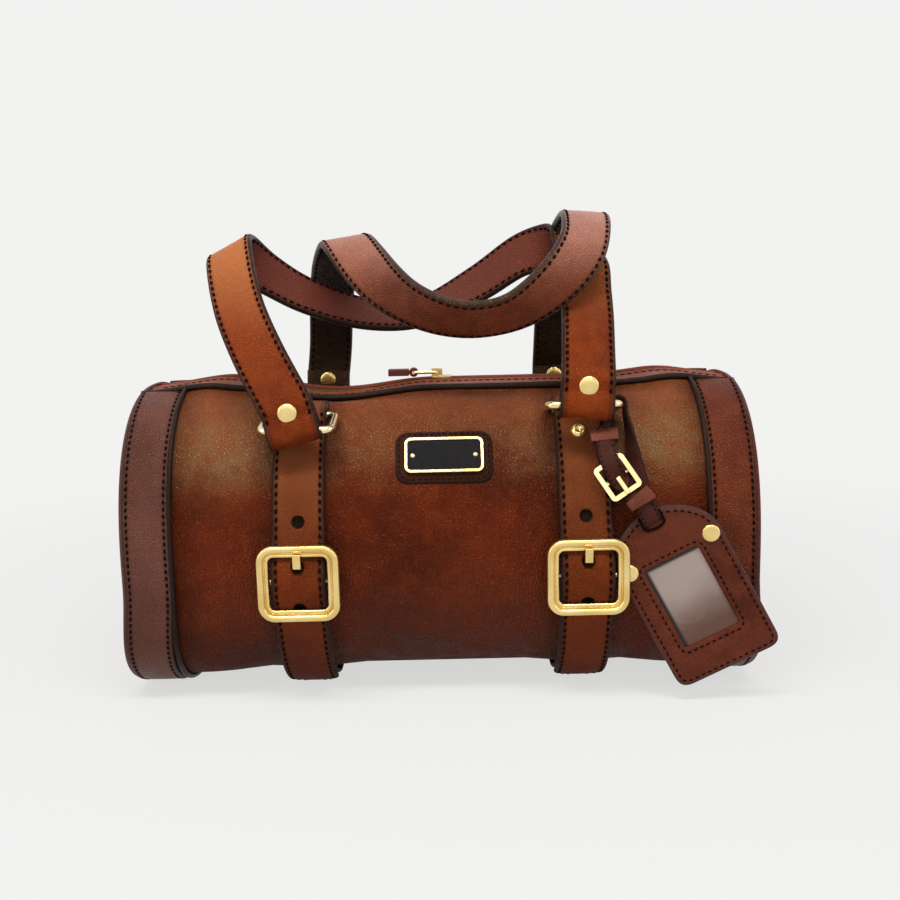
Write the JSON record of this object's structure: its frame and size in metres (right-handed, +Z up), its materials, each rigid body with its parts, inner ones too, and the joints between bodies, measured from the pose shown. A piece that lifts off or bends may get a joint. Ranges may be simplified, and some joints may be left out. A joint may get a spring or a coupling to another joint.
{
  "type": "handbag",
  "caption": "Barrel-shaped leather handbag with end bands, buckled straps, looped handles on metal rings, a top zip, a plain plaque and a hanging leather tag.",
  "frame": {"origin": "on the floor under the middle of the barrel, on the flat underside", "axes": "+X along the barrel to the right as seen from the front, +Y to the back, +Z up; the plaque and buckles face -Y"},
  "size_m": [0.304, 0.1636, 0.2294],
  "materials": {
    "panel_leather": "grained, burnished",
    "band_leather": "smooth, worn",
    "end_leather": "smooth",
    "gusset_leather": "smooth",
    "strap_leather": "smooth, painted edges",
    "handle_leather": "smooth, painted edges",
    "dark_leather": "smooth",
    "tag_leather": "smooth",
    "edge_leather": "matt",
    "lining_fabric": "woven",
    "tape_fabric": "woven tape",
    "satin_brass": "satin",
    "pale_brass": "polished",
    "enamel": "glossy black",
    "window_plastic": "grey"
  },
  "bodies": {
    "bag": {"body_panel": "panel_leather", "lining": "lining_fabric", "left_end_panel": "end_leather", "right_end_panel": "end_leather", "left_end_band": "band_leather", "right_end_band": "band_leather", "left_end_welt": "edge_leather", "right_end_welt": "edge_leather", "front_piping": "edge_leather", "back_piping": "edge_leather", "front_gusset": "gusset_leather", "back_gusset": "gusset_leather", "front_zip_tape": "tape_fabric", "back_zip_tape": "tape_fabric", "front_zip_teeth": "satin_brass", "back_zip_teeth": "satin_brass", "left_zip_end": "gusset_leather", "right_zip_end": "gusset_leather", "left_front_strap": "strap_leather", "right_front_strap": "strap_leather", "left_under_strap": "strap_leather", "right_under_strap": "strap_leather", "left_strap_rivet": "satin_brass", "right_strap_rivet": "satin_brass", "left_buckle_frame": "satin_brass", "right_buckle_frame": "satin_brass", "left_buckle_chape": "dark_leather", "right_buckle_chape": "dark_leather", "base_patch": "dark_leather", "plaque_patch": "dark_leather", "plaque_rim": "satin_brass", "plaque_enamel": "enamel", "plaque_pins": "pale_brass"},
    "back_rings": {"left_back_ring": "pale_brass", "right_back_ring": "pale_brass"},
    "back_handle": {"back_handle": "handle_leather", "back_handle_rivets": "satin_brass"},
    "front_rings": {"left_front_ring": "pale_brass", "right_front_ring": "pale_brass"},
    "front_handle": {"front_handle": "handle_leather", "front_handle_rivets": "satin_brass"},
    "zip_slider": {"zip_slider": "satin_brass"},
    "zip_pull": {"zip_pull_loop": "pale_brass", "zip_pull_tab": "tag_leather"},
    "left_prong": {"left_buckle_prong": "satin_brass"},
    "right_prong": {"right_buckle_prong": "satin_brass"},
    "tag_loop": {"tag_strap": "tag_leather", "tag_keepers": "tag_leather", "tag_buckle_frame": "pale_brass", "tag_buckle_prong": "pale_brass"},
    "tag": {"tag_front_leaf": "tag_leather", "tag_back_leaf": "tag_leather", "tag_window": "window_plastic", "tag_snaps": "satin_brass"}
  },
  "joints": [
    {"name": "back_rings_swing", "type": "hinge", "parent": "bag", "child": "back_rings", "pos_m": [0, 0.04739, 0.13467], "axis": [1, 0, 0], "range_deg": [-20, 0]},
    {"name": "back_handle_swing", "type": "hinge", "parent": "back_rings", "child": "back_handle", "pos_m": [0, 0.07017, 0.13147], "axis": [1, 0, 0], "range_deg": [-110, 0]},
    {"name": "front_rings_swing", "type": "hinge", "parent": "bag", "child": "front_rings", "pos_m": [0, -0.04739, 0.13467], "axis": [1, 0, 0], "range_deg": [-10, 0]},
    {"name": "front_handle_swing", "type": "hinge", "parent": "front_rings", "child": "front_handle", "pos_m": [0, -0.06993, 0.13546], "axis": [0.9976, 0.0024, 0.0686], "range_deg": [-5, 2]},
    {"name": "zip_slide", "type": "slide", "parent": "bag", "child": "zip_slider", "axis": [1, 0, 0], "range_m": [-0.098, 0.12]},
    {"name": "zip_pull_swing", "type": "hinge", "parent": "zip_slider", "child": "zip_pull", "pos_m": [-0.0015, 0, 0.1519], "axis": [0, 1, 0], "range_deg": [0, 165]},
    {"name": "left_prong_swing", "type": "hinge", "parent": "bag", "child": "left_prong", "pos_m": [-0.0655, -0.0795, 0.06316], "axis": [1, 0, 0], "range_deg": [0, 6]},
    {"name": "right_prong_swing", "type": "hinge", "parent": "bag", "child": "right_prong", "pos_m": [0.0655, -0.0795, 0.06316], "axis": [1, 0, 0], "range_deg": [0, 6]},
    {"name": "tag_loop_swing", "type": "hinge", "parent": "front_rings", "child": "tag_loop", "pos_m": [0.0817, -0.05751, 0.13706], "axis": [1, 0, 0], "range_deg": [0, 9.5]},
    {"name": "tag_swing", "type": "hinge", "parent": "tag_loop", "child": "tag", "pos_m": [0.095, -0.07914, 0.08726], "axis": [-0.0845, -0.9954, -0.0453], "range_deg": [0, 12]}
  ],
  "couplings": [
    {"joint": "tag_loop_swing", "follows": "front_rings_swing", "ratio": -0.95}
  ]
}
